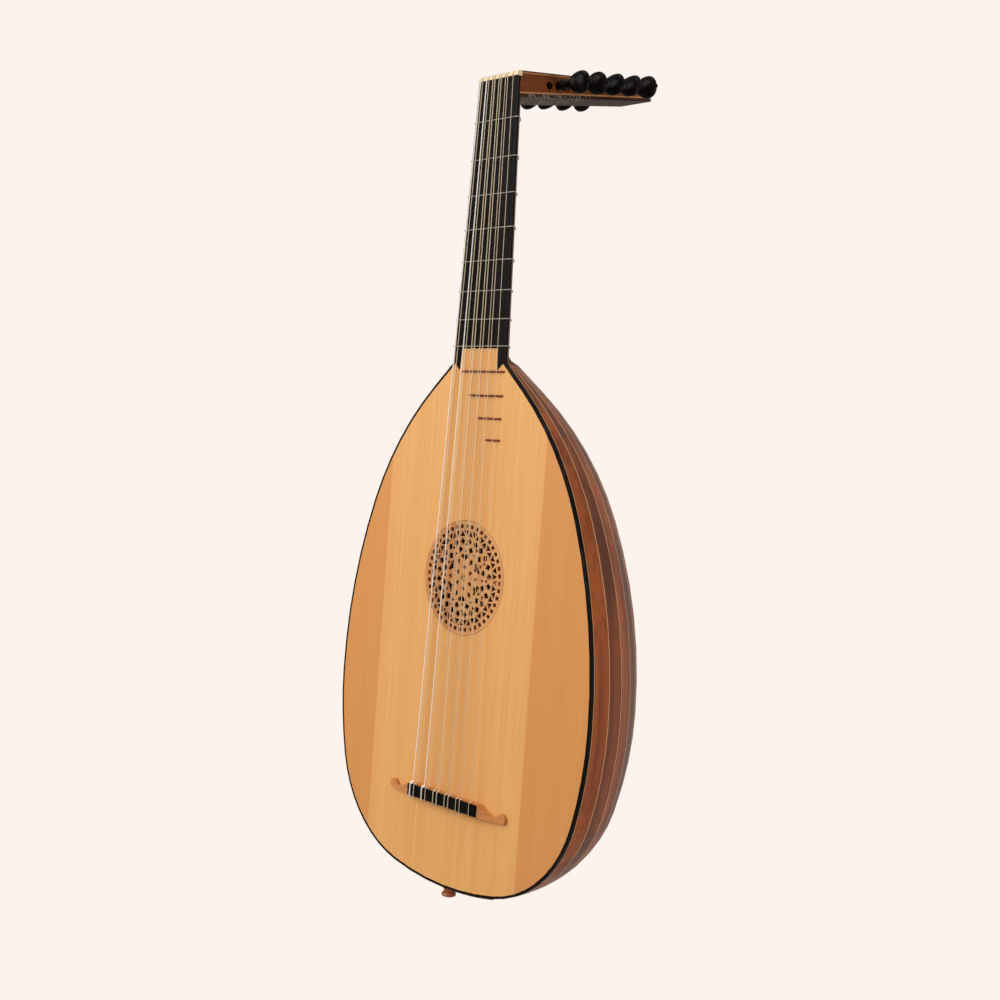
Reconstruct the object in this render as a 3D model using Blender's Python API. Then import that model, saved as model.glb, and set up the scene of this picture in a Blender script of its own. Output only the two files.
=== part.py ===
"""Renaissance lute with six courses, modelled piece by piece.

The lute stands upright: the neck points to +Z, the soundboard faces -Y and the treble side is +X.
The origin is the centre of the end button's outer face. Sizes below are in millimetres. Every
depth y is counted from the front of the soundboard, which the empty "front_plane" carries.
"""
import math

import bmesh
import bpy
import numpy as np

for old in list(bpy.data.objects):
    bpy.data.objects.remove(old, do_unlink=True)

MM = 0.001

# Fit between touching pieces
GAP = 0.3
HOLE_SIDES = 12

# Scale of the instrument
STRING_LENGTH = 600.0
BRIDGE_EDGE_Z = 90.0
NUT_Z = BRIDGE_EDGE_Z + STRING_LENGTH
FRONT_THICK = 1.8

# Body outline: arcs from the tail centre to the neck, each with its radius and end heading
BODY_BOTTOM_Z = 9.3
NECK_JOINT_Z = 453.5
TAIL_ARC = (285.0, 12.7, 3)
CORNER_ARC = (108.0, 74.7, 9)
FLANK_ARC = (300.0, 90.0, 4)
SIDE_ARC = (445.0, 110.9, 6)
SHOULDER_ARC = (266.0, 137.65, 6)

# Bowl
BOWL_DEPTH = 148.0
RIB_COUNT = 23
RIB_THICK = 1.6

# Edging and lining
EDGING_WIDTH = 1.9
EDGING_DEPTH = 3.0
LINER_WIDTH = 3.0
LINER_DEPTH = 6.0
RIM_Y = EDGING_DEPTH + GAP
INNER_Y = FRONT_THICK + GAP

# Neck
NUT_HALF_WIDTH = 23.8
NECK_DEPTH_AT_NUT = 18.0
NECK_DEPTH_AT_BODY = 23.0
NECK_ROUNDNESS = 1.5
HEEL_LENGTH = 7.0
NECK_FACETS = 9
TONGUE_HALF_WIDTH = 21.6
TONGUE_TOP_Z = 466.0
POINT_DROP = 18.0
POINT_SPREAD = 1.3

# Strings: diameters from treble to bass
STRING_DIAMETERS = (0.5, 0.6, 0.6, 0.8, 0.8, 0.9, 0.9, 0.7, 1.1, 0.7, 1.2)
STRING_HEIGHT_AT_NUT = 1.6
STRING_HEIGHT_AT_BRIDGE = 6.5
NUT_FIRST_COURSE_X = 18.55
NUT_COURSE_STEP = 7.55
NUT_PAIR_STEP = 2.6
BRIDGE_FIRST_COURSE_X = 36.2
BRIDGE_TREBLE_STEP = 13.6
BRIDGE_STEP_GROWTH = 0.4
BRIDGE_PAIR_STEP = 4.6

# Frets
TIED_FRETS = 8
BODY_FRETS = 4
FRET_GUT = 0.8
FRET_TRAVEL = 2.5
BODY_FRET_WIDTH = 1.6
BODY_FRET_HEIGHT = 1.1
BODY_FRET_TREBLE_X = 32.3
BODY_FRET_BASS_X = -19.5
BODY_FRET_STEP_X = 11.3

# Rose
ROSE_Z = 272.9
ROSE_RADIUS = 48.4
ROSE_SIDES = 52
ROSE_RING_RADIUS = 43.6
ROSE_RING_HOLES = 44
ROSE_RING_HOLE = 3.4

# Bars glued under the soundboard
BAR_HEIGHTS_Z = (60.0, 150.0, 200.0, 273.0, 325.0, 380.0)
BAR_THICK = 5.0
BAR_DEPTH = 14.0
BAR_END_DEPTH = 6.0

# Blocks inside the bowl
NECK_BLOCK_LENGTH = 33.0
END_BLOCK_HALF_WIDTH = 28.0
END_BLOCK_DEPTH = 30.0
END_BLOCK_TOP_Z = 24.0

# End clasp and end button
CLASP_HALF_LENGTH = 58.0
CLASP_DEPTH = 24.0
CLASP_THICK = 1.2
BUTTON_SETBACK = 9.0
BUTTON_RADIUS = 6.4
BUTTON_NECK_RADIUS = 4.2
BUTTON_SHANK_RADIUS = 3.5
BUTTON_SHANK_TOP_Z = 21.0

# Nut
NUT_OVERHANG = 0.3
NUT_THICK = 5.2
NUT_BACK_Y = 4.0
NUT_BEND = 3.5
NUT_CROWN = 0.3

# Bridge
BRIDGE_HALF_WIDTH = 43.0
BRIDGE_DEPTH_Z = 12.0
BRIDGE_TOP_DEPTH_Z = 10.0
BRIDGE_HEIGHT = 7.2
BRIDGE_TIP_HEIGHT = 3.0
BRIDGE_KNOB_X = 68.2
BRIDGE_KNOB_Z = 83.7
BRIDGE_KNOB_RADIUS = 4.3
CAP_THICK = 1.5

# Pegbox, bent back from the neck
PEGBOX_LENGTH_Y = 173.0
PEGBOX_TOP_Z = 694.2
PEGBOX_TOP_SLOPE = 0.168
PEGBOX_LOW_Z = 672.5
PEGBOX_LOW_SLOPE = 0.205
PEGBOX_TIP_HALF_WIDTH = 18.0
CHEEK_THICK_AT_TIP = 5.0
CHEEK_THICK_AT_NUT = 2.1
BACK_PLATE_THICK = 2.6
PEGBOX_END_THICK = 7.0
FLOOR_RAMP_Y = 26.0

# Pegs
PEG_COUNT = 11
FIRST_PEG_Y = 37.0
PEG_STEP_Y = 11.0
PEG_RADIUS = 3.4
PEG_END_RADIUS = 3.0
PEG_CLEARANCE = 0.2
PEG_REACH = 15.0
PEG_HEAD_LENGTH = 20.0
PEG_HEAD_RADIUS = 9.5
PEG_HEAD_FLATNESS = 0.5
PEG_STICK_OUT = 1.2
PEG_SIDES = 12
WINDING_GAP = 0.5
WINDING_TURNS = 2.0
TURN_POINTS = 8
FIRST_LANE_X = 13.4
LAST_LANE_X = -12.4


def material(name, colour, roughness, metallic=0.0):
    """A plain Principled material in the piece's own colour."""
    made = bpy.data.materials.new(name)
    made.use_nodes = True
    shader = made.node_tree.nodes["Principled BSDF"]
    shader.inputs["Base Color"].default_value = (*colour, 1.0)
    shader.inputs["Roughness"].default_value = roughness
    shader.inputs["Metallic"].default_value = metallic
    made.diffuse_color = (*colour, 1.0)
    return made


SPRUCE = material("spruce", (0.76, 0.41, 0.15), 0.4)
ROSE_WOOD = material("rose_wood", (0.55, 0.27, 0.12), 0.5)
WALNUT = material("walnut", (0.27, 0.09, 0.03), 0.35)
NECK_WOOD = material("neck_wood", (0.19, 0.07, 0.025), 0.4)
PLUM = material("plum", (0.5, 0.2, 0.07), 0.4)
EBONY = material("ebony", (0.012, 0.008, 0.006), 0.3)
BONE = material("bone", (0.83, 0.67, 0.4), 0.35)
GUT = material("gut", (0.8, 0.74, 0.66), 0.4)
FRET_WOOD = material("fret_wood", (0.19, 0.035, 0.015), 0.45)

front_plane = bpy.data.objects.new("front_plane", None)
front_plane.location = (0.0, -BUTTON_SETBACK * MM, 0.0)
bpy.context.collection.objects.link(front_plane)


def solid(name, verts, faces, finish, place=(0.0, 0.0, 0.0), smooth_angle=30.0):
    """One closed body from points in millimetres, its faces turned outwards."""
    mesh = bpy.data.meshes.new(name)
    mesh.from_pydata([tuple(c * MM for c in v) for v in verts], [], faces)
    work = bmesh.new()
    work.from_mesh(mesh)
    bmesh.ops.recalc_face_normals(work, faces=work.faces)
    if work.calc_volume(signed=True) < 0.0:
        bmesh.ops.reverse_faces(work, faces=work.faces)
    work.to_mesh(mesh)
    work.free()
    mesh.materials.append(finish)
    mesh.shade_smooth()
    mesh.set_sharp_from_angle(angle=math.radians(smooth_angle))
    made = bpy.data.objects.new(name, mesh)
    made.location = tuple(c * MM for c in place)
    made.parent = front_plane
    bpy.context.collection.objects.link(made)
    return made


def slab(name, loops, near_y, far_y, finish):
    """A flat piece: the first loop of (x, z) is its edge, the others are holes through it."""
    flat = bmesh.new()
    rings = []
    for loop in loops:
        ring = [flat.verts.new((x, 0.0, z)) for x, z in loop]
        rings.append(ring)
    edges = []
    for ring in rings:
        for here, there in zip(ring, ring[1:] + ring[:1]):
            edges.append(flat.edges.new((here, there)))
    flat.verts.index_update()
    bmesh.ops.triangle_fill(flat, use_beauty=True, use_dissolve=False, edges=edges, normal=(0, -1, 0))
    flat.verts.index_update()
    points = [(v.co.x, v.co.z) for v in flat.verts]
    triangles = [tuple(v.index for v in f.verts) for f in flat.faces]
    ring_indices = [[v.index for v in ring] for ring in rings]
    flat.free()
    count = len(points)
    near = near_y if callable(near_y) else (lambda x, z: (near_y, z))
    verts = [(x, *near(x, z)) for x, z in points] + [(x, far_y, z) for x, z in points]
    faces = list(triangles)
    faces += [tuple(i + count for i in reversed(t)) for t in triangles]
    for ring in ring_indices:
        for here, there in zip(ring, ring[1:] + ring[:1]):
            faces.append((here, there, there + count, here + count))
    return solid(name, verts, faces, finish)


def loft(name, rings, finish, closed=False, smooth_angle=30.0):
    """Joins rings of equal length by quads, with flat ends unless the run is closed."""
    size = len(rings[0])
    verts = [p for ring in rings for p in ring]
    faces = []
    pairs = list(zip(range(len(rings)), range(1, len(rings))))
    if closed:
        pairs.append((len(rings) - 1, 0))
    for low, high in pairs:
        for i in range(size):
            j = (i + 1) % size
            faces.append((low * size + i, low * size + j, high * size + j, high * size + i))
    if not closed:
        faces.append(tuple(range(size)))
        faces.append(tuple(range(len(rings) * size - 1, (len(rings) - 1) * size - 1, -1)))
    return solid(name, verts, faces, finish, smooth_angle=smooth_angle)


def tube(name, points, diameter, finish, cyclic=False, place=(0.0, 0.0, 0.0)):
    """A six-sided cord through the points."""
    curve = bpy.data.curves.new(name, "CURVE")
    curve.dimensions = "3D"
    curve.bevel_depth = diameter / 2 * MM
    curve.bevel_resolution = 1
    curve.use_fill_caps = not cyclic
    line = curve.splines.new("POLY")
    line.points.add(len(points) - 1)
    for slot, (x, y, z) in zip(line.points, points):
        slot.co = (x * MM, y * MM, z * MM, 1.0)
    line.use_cyclic_u = cyclic
    curve.materials.append(finish)
    made = bpy.data.objects.new(name, curve)
    made.location = tuple(c * MM for c in place)
    made.parent = front_plane
    bpy.context.collection.objects.link(made)
    return made


def cutter(name, place, radius, length, axis, sides=HOLE_SIDES):
    """A hidden cylinder that bores a round hole along "X" or "Z" through whatever it passes."""
    circle = []
    for i in range(sides):
        turn = 2 * math.pi * i / sides
        circle.append((radius * math.cos(turn), radius * math.sin(turn)))
    verts = []
    for end in (-length / 2, length / 2):
        for a, b in circle:
            verts.append((end, a, b) if axis == "X" else (a, b, end))
    faces = [tuple(range(sides)), tuple(range(2 * sides - 1, sides - 1, -1))]
    for i in range(sides):
        j = (i + 1) % sides
        faces.append((i, j, j + sides, i + sides))
    made = solid(name, verts, faces, EBONY, place)
    made.hide_render = True
    made.display_type = "WIRE"
    return made


def bore(target, tool):
    """Cuts the tool's shape out of the target."""
    cut = target.modifiers.new(tool.name, "BOOLEAN")
    cut.operation = "DIFFERENCE"
    cut.solver = "EXACT"
    cut.object = tool


def outline(inset=0.0, top_z=NECK_JOINT_Z):
    """Right half of the body's outline from the tail to the neck, as (x, z), moved inwards."""
    x, z, start = 0.0, BODY_BOTTOM_Z, 0.0
    points = [(x, z + inset)]
    for radius, end, steps in (TAIL_ARC, CORNER_ARC, FLANK_ARC, SIDE_ARC, SHOULDER_ARC):
        centre_x = x - radius * math.sin(math.radians(start))
        centre_z = z + radius * math.cos(math.radians(start))
        for k in range(1, steps + 1):
            heading = math.radians(start + (end - start) * k / steps)
            x = centre_x + radius * math.sin(heading)
            z = centre_z - radius * math.cos(heading)
            points.append((x - inset * math.sin(heading), z + inset * math.cos(heading)))
        start = end
    last_x, last_z = points[-1]
    run = (top_z - last_z) / math.tan(math.radians(start))
    points.append((last_x + run, top_z))
    return points


def half_width(z, inset=0.0):
    """Half the body's width at a height, less an inset from its edge."""
    points = outline(inset)
    return float(np.interp(z, [p[1] for p in points], [p[0] for p in points]))


JOINT_HALF_WIDTH = outline()[-1][0]
WIDEST = max(x for x, z in outline())
DEPTH_RATIO = (BOWL_DEPTH - RIM_Y) / WIDEST


def neck_half_width(z):
    """The neck and fingerboard taper evenly from the body to the nut."""
    share = (z - NECK_JOINT_Z) / (NUT_Z - NECK_JOINT_Z)
    return JOINT_HALF_WIDTH + (NUT_HALF_WIDTH - JOINT_HALF_WIDTH) * share


def neck_depth(z):
    share = (z - NECK_JOINT_Z) / (NUT_Z - NECK_JOINT_Z)
    return NECK_DEPTH_AT_BODY + (NECK_DEPTH_AT_NUT - NECK_DEPTH_AT_BODY) * share


def fret_z(number):
    """Height of a fret in equal temperament."""
    return NUT_Z - STRING_LENGTH * (1 - 2 ** (-number / 12))


def mirrored(points):
    """A closed outline from its right half, which runs from the bottom to the top."""
    left = [(-x, z) for x, z in reversed(points) if abs(x) > 1e-6]
    return points + left


def make_bowl():
    """Ribs as flat facets that all meet at the tail and run up to the neck block."""
    outer = outline()
    inner = outline(RIB_THICK)
    verts = []
    index = {}
    for side, profile in (("outer", outer), ("inner", inner)):
        for j, (w, z) in enumerate(profile):
            if j == 0:
                index[side, 0] = [len(verts)] * (RIB_COUNT + 1)
                verts.append((0.0, RIM_Y, z))
                continue
            row = []
            for i in range(RIB_COUNT + 1):
                turn = math.pi * i / RIB_COUNT
                row.append(len(verts))
                verts.append((w * math.cos(turn), RIM_Y + DEPTH_RATIO * w * math.sin(turn), z))
            index[side, j] = row
    faces = []
    for side in ("outer", "inner"):
        for j in range(len(outer) - 1):
            low, high = index[side, j], index[side, j + 1]
            for i in range(RIB_COUNT):
                if j == 0:
                    faces.append((low[0], high[i], high[i + 1]))
                else:
                    faces.append((low[i], low[i + 1], high[i + 1], high[i]))
    for j in range(len(outer) - 1):
        for i in (0, RIB_COUNT):
            faces.append((index["outer", j][i], index["outer", j + 1][i],
                          index["inner", j + 1][i], index["inner", j][i]))
    top = len(outer) - 1
    for i in range(RIB_COUNT):
        faces.append((index["outer", top][i], index["outer", top][i + 1],
                      index["inner", top][i + 1], index["inner", top][i]))
    return solid("bowl", verts, faces, WALNUT, smooth_angle=5.0)


def tail_surface_z(x, y, inset):
    """Height of the bowl's tail under a point, moved inwards by the inset."""
    radius = TAIL_ARC[0]
    behind = max(0.0, y - RIM_Y) / DEPTH_RATIO
    reach = (radius - inset) ** 2 - x * x - behind * behind
    return BODY_BOTTOM_Z + radius - math.sqrt(reach)


def rim_strip(name, stations, widths, depths, finish):
    """A strip of rectangular section along outline stations, each (x, z) pair at two insets."""
    near, far = depths
    rings = []
    for (ox, oz), (ix, iz) in stations:
        rings.append([(ox, near, oz), (ix, near, iz), (ix, far, iz), (ox, far, oz)])
    return loft(name, rings, finish)


def make_edging():
    outer = outline()
    inner = outline(EDGING_WIDTH)
    right = list(zip(outer, inner))
    left = [((-a[0], a[1]), (-b[0], b[1])) for a, b in reversed(right[1:])]
    rim_strip("edging", left + right, EDGING_WIDTH, (0.0, EDGING_DEPTH), EBONY)


def make_liners():
    """The lining runs round each side between the end block and the neck block."""
    near_inset = EDGING_WIDTH + GAP
    low_x = END_BLOCK_HALF_WIDTH + GAP
    high_z = NECK_JOINT_Z - NECK_BLOCK_LENGTH - GAP
    outer = outline(near_inset)
    inner = outline(near_inset + LINER_WIDTH)
    right = []
    for here, there in zip(outer, inner):
        if there[0] > low_x and here[1] < high_z:
            right.append((here, there))

    def at_x(points, x):
        return (x, float(np.interp(x, [p[0] for p in points[:6]], [p[1] for p in points[:6]])))

    def at_z(points, z):
        return (float(np.interp(z, [p[1] for p in points], [p[0] for p in points])), z)

    right.insert(0, (at_x(outer, low_x), at_x(inner, low_x)))
    right.append((at_z(outer, high_z), at_z(inner, high_z)))
    depths = (INNER_Y, INNER_Y + LINER_DEPTH)
    rim_strip("liner_treble", right, LINER_WIDTH, depths, SPRUCE)
    left = [((-a[0], a[1]), (-b[0], b[1])) for a, b in right]
    rim_strip("liner_bass", left, LINER_WIDTH, depths, SPRUCE)


def make_soundboard():
    edge = [p for p in outline(EDGING_WIDTH + GAP) if p[1] < NECK_JOINT_Z - 4.0]
    ear = (JOINT_HALF_WIDTH - (EDGING_WIDTH + GAP) * 1.5, NECK_JOINT_Z - GAP)
    notch_z = TONGUE_TOP_Z - POINT_DROP - 2 * GAP
    notch = (TONGUE_HALF_WIDTH + POINT_SPREAD, notch_z)
    right = edge + [ear, notch, (TONGUE_HALF_WIDTH, TONGUE_TOP_Z)]
    hole = []
    for i in range(ROSE_SIDES):
        turn = 2 * math.pi * i / ROSE_SIDES
        reach = ROSE_RADIUS + GAP
        hole.append((reach * math.cos(turn), ROSE_Z + reach * math.sin(turn)))
    slab("soundboard", [mirrored(right), hole], 0.0, FRONT_THICK, SPRUCE)


def make_fingerboard():
    """Ebony board with two points that run down beside the soundboard's tongue."""
    top = NUT_Z - GAP
    low = NECK_JOINT_Z + GAP
    tip_z = TONGUE_TOP_Z - POINT_DROP
    inner_x = TONGUE_HALF_WIDTH + GAP
    shoulder_x = JOINT_HALF_WIDTH - (EDGING_WIDTH + GAP) * 1.5
    right = [
        (inner_x, TONGUE_TOP_Z + GAP),
        (inner_x + POINT_SPREAD, tip_z),
        (shoulder_x, low),
        (neck_half_width(low), low),
        (neck_half_width(top), top),
    ]
    slab("fingerboard", [mirrored(right)], 0.0, FRONT_THICK, EBONY)


def neck_ring(z, flare):
    """Points of the neck's section behind the fingerboard, from treble to bass."""
    half, depth = neck_half_width(z), neck_depth(z)
    front = INNER_Y
    power = NECK_ROUNDNESS
    edge_x = half * (1 - (front / depth) ** power) ** (1 / power)
    ring = []
    for k in range(NECK_FACETS + 1):
        turn = math.pi * k / NECK_FACETS
        if k in (0, NECK_FACETS):
            x = math.copysign(edge_x, math.cos(turn))
            y = front
        else:
            x = math.copysign(half * abs(math.cos(turn)) ** (2 / power), math.cos(turn))
            y = depth * math.sin(turn) ** (2 / power)
        bowl_x = JOINT_HALF_WIDTH * math.cos(turn)
        bowl_y = max(front, RIM_Y + DEPTH_RATIO * JOINT_HALF_WIDTH * math.sin(turn))
        if k in (0, NECK_FACETS):
            bowl_y = front
        ring.append((x + (bowl_x - x) * flare, y + (bowl_y - y) * flare, z))
    return ring


def make_neck():
    foot = NECK_JOINT_Z + GAP
    rings = []
    for step in (0.0, 0.2, 0.5, 1.0):
        rings.append(neck_ring(foot + HEEL_LENGTH * step, (1 - step) ** 2))
    for z in (510.0, 560.0, 610.0, 650.0):
        rings.append(neck_ring(z, 0.0))
    cut = []
    for x, y, z in neck_ring(PEGBOX_LOW_Z, 0.0):
        cut.append((x, y, PEGBOX_LOW_Z + PEGBOX_LOW_SLOPE * y - GAP))
    rings.append(cut)
    loft("neck", rings, NECK_WOOD)


def make_neck_block():
    """Block inside the bowl that the neck is glued to."""
    inset = EDGING_WIDTH + 2 * GAP
    rings = []
    for step in (0.0, 0.5, 1.0):
        z = NECK_JOINT_Z - NECK_BLOCK_LENGTH * (1 - step)
        w = half_width(z, inset)
        depth = DEPTH_RATIO * w + RIM_Y - INNER_Y - GAP
        ring = []
        for k in range(13):
            turn = math.pi * k / 12
            ring.append((w * math.cos(turn), INNER_Y + depth * math.sin(turn), z))
        rings.append(ring)
    loft("neck_block", rings, SPRUCE)


def make_end_block():
    """Block at the tail that takes the end button's shank."""
    inset = EDGING_WIDTH + 2 * GAP
    across, deep = 8, 5
    verts = []
    for level in ("low", "top"):
        for j in range(deep + 1):
            y = INNER_Y + (END_BLOCK_DEPTH - INNER_Y) * j / deep
            for i in range(across + 1):
                x = END_BLOCK_HALF_WIDTH * (2 * i / across - 1)
                z = tail_surface_z(x, y, inset) if level == "low" else END_BLOCK_TOP_Z
                verts.append((x, y, z))
    row = across + 1
    layer = row * (deep + 1)
    faces = []
    for j in range(deep):
        for i in range(across):
            a = j * row + i
            faces.append((a, a + 1, a + 1 + row, a + row))
            faces.append((a + layer, a + row + layer, a + 1 + row + layer, a + 1 + layer))
    rim = list(range(row)) + [row * (j + 1) - 1 for j in range(1, deep + 1)]
    rim += [row * deep + i for i in range(across - 1, -1, -1)] + [row * j for j in range(deep - 1, 0, -1)]
    for here, there in zip(rim, rim[1:] + rim[:1]):
        faces.append((here, there, there + layer, here + layer))
    return solid("end_block", verts, faces, SPRUCE)


def make_end_clasp():
    """Thin strip over the ribs' ends at the tail, widest in the middle."""
    across, deep = 14, 4
    verts = []
    for lift in (GAP, GAP + CLASP_THICK):
        for i in range(across + 1):
            x = CLASP_HALF_LENGTH * (2 * i / across - 1)
            reach = CLASP_DEPTH * (1 - 0.8 * (x / CLASP_HALF_LENGTH) ** 2)
            for j in range(deep + 1):
                y = RIM_Y + reach * j / deep
                verts.append((x, y, tail_surface_z(x, y, -lift)))
    row = deep + 1
    layer = row * (across + 1)
    faces = []
    for i in range(across):
        for j in range(deep):
            a = i * row + j
            faces.append((a, a + 1, a + 1 + row, a + row))
            faces.append((a + layer, a + row + layer, a + 1 + row + layer, a + 1 + layer))
    rim = list(range(row)) + [row * (i + 1) - 1 for i in range(1, across + 1)]
    rim += [row * across + j for j in range(deep - 1, -1, -1)] + [row * i for i in range(across - 1, 0, -1)]
    for here, there in zip(rim, rim[1:] + rim[:1]):
        faces.append((here, there, there + layer, here + layer))
    return solid("end_clasp", verts, faces, WALNUT)


def turned(name, profile, sides, finish, place, to_world):
    """A turned piece from (radius, along) points; to_world maps (a, b, along) to x, y, z."""
    verts = []
    rows = []
    for radius, along in profile:
        if radius < 1e-6:
            rows.append([len(verts)] * sides)
            verts.append(to_world(0.0, 0.0, along))
            continue
        row = []
        for i in range(sides):
            turn = 2 * math.pi * (i + 0.5) / sides
            row.append(len(verts))
            verts.append(to_world(radius * math.cos(turn), radius * math.sin(turn), along))
        rows.append(row)
    faces = []
    for low, high in zip(rows, rows[1:]):
        for i in range(sides):
            j = (i + 1) % sides
            face = [low[i], low[j], high[j], high[i]]
            faces.append(tuple(dict.fromkeys(face)))
    if profile[0][0] > 1e-6:
        faces.append(tuple(rows[0]))
    if profile[-1][0] > 1e-6:
        faces.append(tuple(rows[-1]))
    return solid(name, verts, faces, finish, place)


def make_end_button():
    """Turned button whose shank goes through the clasp and the bowl into the end block."""
    seat = BODY_BOTTOM_Z - 2 * GAP - CLASP_THICK
    profile = [
        (BUTTON_RADIUS * 0.72, 0.0),
        (BUTTON_RADIUS * 0.94, 0.6),
        (BUTTON_RADIUS, 1.8),
        (BUTTON_RADIUS * 0.9, 3.2),
        (BUTTON_NECK_RADIUS, 4.6),
        (BUTTON_NECK_RADIUS * 1.1, 6.0),
        (BUTTON_NECK_RADIUS * 1.35, seat),
        (BUTTON_SHANK_RADIUS, seat),
        (BUTTON_SHANK_RADIUS * 0.9, BUTTON_SHANK_TOP_Z),
    ]
    turned("end_button", profile, 16, PLUM, (0.0, BUTTON_SETBACK, 0.0), lambda a, b, t: (a, b, t))


def make_bars():
    for number, z in enumerate(BAR_HEIGHTS_Z, start=1):
        inset = EDGING_WIDTH + LINER_WIDTH + 2 * GAP
        reach = min(half_width(z + d, inset) for d in (-BAR_THICK / 2, 0.0, BAR_THICK / 2))
        slope = BAR_DEPTH * 1.6
        side = [(-reach, INNER_Y), (reach, INNER_Y), (reach, INNER_Y + BAR_END_DEPTH),
                (reach - slope * 0.4, INNER_Y + BAR_DEPTH * 0.85), (reach - slope, INNER_Y + BAR_DEPTH),
                (slope - reach, INNER_Y + BAR_DEPTH), (slope * 0.4 - reach, INNER_Y + BAR_DEPTH * 0.85),
                (-reach, INNER_Y + BAR_END_DEPTH)]
        rings = []
        for level in (z - BAR_THICK / 2, z + BAR_THICK / 2):
            rings.append([(x, y, level) for x, y in side])
        loft(f"bar_{number}", rings, SPRUCE)


def cell(radius, angle, deep, wide, sides, turn=0.0):
    """One opening of the rose, centred at a radius and an angle in degrees."""
    a = math.radians(angle)
    points = []
    for k in range(sides):
        t = 2 * math.pi * k / sides + math.radians(turn)
        out = radius + deep / 2 * math.cos(t)
        along = wide / 2 * math.sin(t)
        points.append((out * math.cos(a) - along * math.sin(a),
                       ROSE_Z + out * math.sin(a) + along * math.cos(a)))
    return points


def bracket(radius, angle, deep, wide):
    """A larger opening shaped like a curly bracket, its point towards the centre."""
    a = math.radians(angle)
    shape = [(0.5, -0.5), (0.5, 0.5), (0.1, 0.5), (-0.1, 0.16), (-0.5, 0.0), (-0.1, -0.16), (0.1, -0.5)]
    points = []
    for out_share, along_share in shape:
        out = radius + deep * out_share
        along = wide * along_share
        points.append((out * math.cos(a) - along * math.sin(a),
                       ROSE_Z + out * math.sin(a) + along * math.cos(a)))
    return points


def make_rose():
    """Pierced strapwork: a ring of square holes round a six-fold lattice."""
    rim = cell(0.0, 0.0, 2 * ROSE_RADIUS, 2 * ROSE_RADIUS, ROSE_SIDES)
    holes = []
    for k in range(ROSE_RING_HOLES):
        angle = 360.0 * k / ROSE_RING_HOLES
        side = ROSE_RING_HOLE * math.sqrt(2)
        holes.append(cell(ROSE_RING_RADIUS, angle, side, side, 4, 45.0))
    for k in range(24):
        holes.append(cell(36.9, 15.0 * k + 7.5, 7.0, 7.4, 3, 0.0))
        holes.append(cell(38.6, 15.0 * k, 7.0, 7.4, 3, 180.0))
        holes.append(cell(31.0, 15.0 * k + 7.5, 6.6, 6.2, 4, 0.0))
    for k in range(12):
        holes.append(cell(28.0, 30.0 * k, 4.4, 5.2, 3, 180.0))
        holes.append(cell(24.4, 30.0 * k + 15.0, 6.2, 6.4, 4, 0.0))
        holes.append(cell(22.6, 30.0 * k, 4.0, 4.6, 3, 0.0))
    for k in range(6):
        holes.append(cell(9.0, 60.0 * k + 30.0, 5.2, 4.4, 4, 0.0))
        holes.append(bracket(16.6, 60.0 * k + 30.0, 6.6, 9.4))
        holes.append(cell(15.8, 60.0 * k, 6.4, 4.6, 4, 0.0))
    holes.append(cell(0.0, 0.0, 6.4, 6.4, 6, 0.0))
    slab("rose", [rim] + holes, 0.0, FRONT_THICK, ROSE_WOOD)


def course_positions(first, pair_step, steps):
    """Places of the eleven strings: a single first course, then five pairs towards the bass."""
    places = [first]
    x = first
    for step in steps:
        x -= step
        places += [x + pair_step / 2, x - pair_step / 2]
    return places


NUT_X = course_positions(NUT_FIRST_COURSE_X, NUT_PAIR_STEP, [NUT_COURSE_STEP] * 5)
BRIDGE_X = course_positions(BRIDGE_FIRST_COURSE_X, BRIDGE_PAIR_STEP,
                            [BRIDGE_TREBLE_STEP + BRIDGE_STEP_GROWTH * k for k in range(5)])
NUT_BEND_Y = NUT_BEND - STRING_HEIGHT_AT_NUT
NUT_BEND_Z = NUT_Z + 1.0


def make_nut():
    """Bone nut, rounded at the front, with a slot for each string."""
    half = NUT_HALF_WIDTH - NUT_OVERHANG
    crown = NUT_BEND + NUT_CROWN
    stations = [(-half, crown), (half, crown)]
    for x, diameter in zip(NUT_X, STRING_DIAMETERS):
        r = diameter / 2
        slot = NUT_BEND - r - GAP
        wide = r + GAP
        stations += [(x - wide - 0.2, crown), (x - wide, slot), (x + wide, slot), (x + wide + 0.2, crown)]
    stations.sort()
    rings = []
    for x, radius in stations:
        ring = [(x, NUT_BEND_Y - radius, NUT_Z + GAP)]
        for k in range(4):
            turn = math.radians(30.0 * k)
            ring.append((x, NUT_BEND_Y - radius * math.cos(turn), NUT_BEND_Z + radius * math.sin(turn)))
        ring.append((x, NUT_BACK_Y, NUT_BEND_Z + radius))
        ring.append((x, NUT_BACK_Y, NUT_Z + GAP))
        rings.append(ring)
    loft("nut", rings, BONE)


def bridge_side(x):
    """Top height, low edge and high edge of the bridge's arm at a distance from its middle."""
    share = (abs(x) - BRIDGE_HALF_WIDTH) / (BRIDGE_KNOB_X - BRIDGE_HALF_WIDTH)
    share = min(1.0, max(0.0, share))
    tall = BRIDGE_HEIGHT + (BRIDGE_TIP_HEIGHT - BRIDGE_HEIGHT) * share
    low = BRIDGE_EDGE_Z - BRIDGE_DEPTH_Z + 1.5 * share
    high = BRIDGE_EDGE_Z - (BRIDGE_DEPTH_Z - 4.5) * (1 - (1 - share) ** 2)
    return tall, low, high


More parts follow.
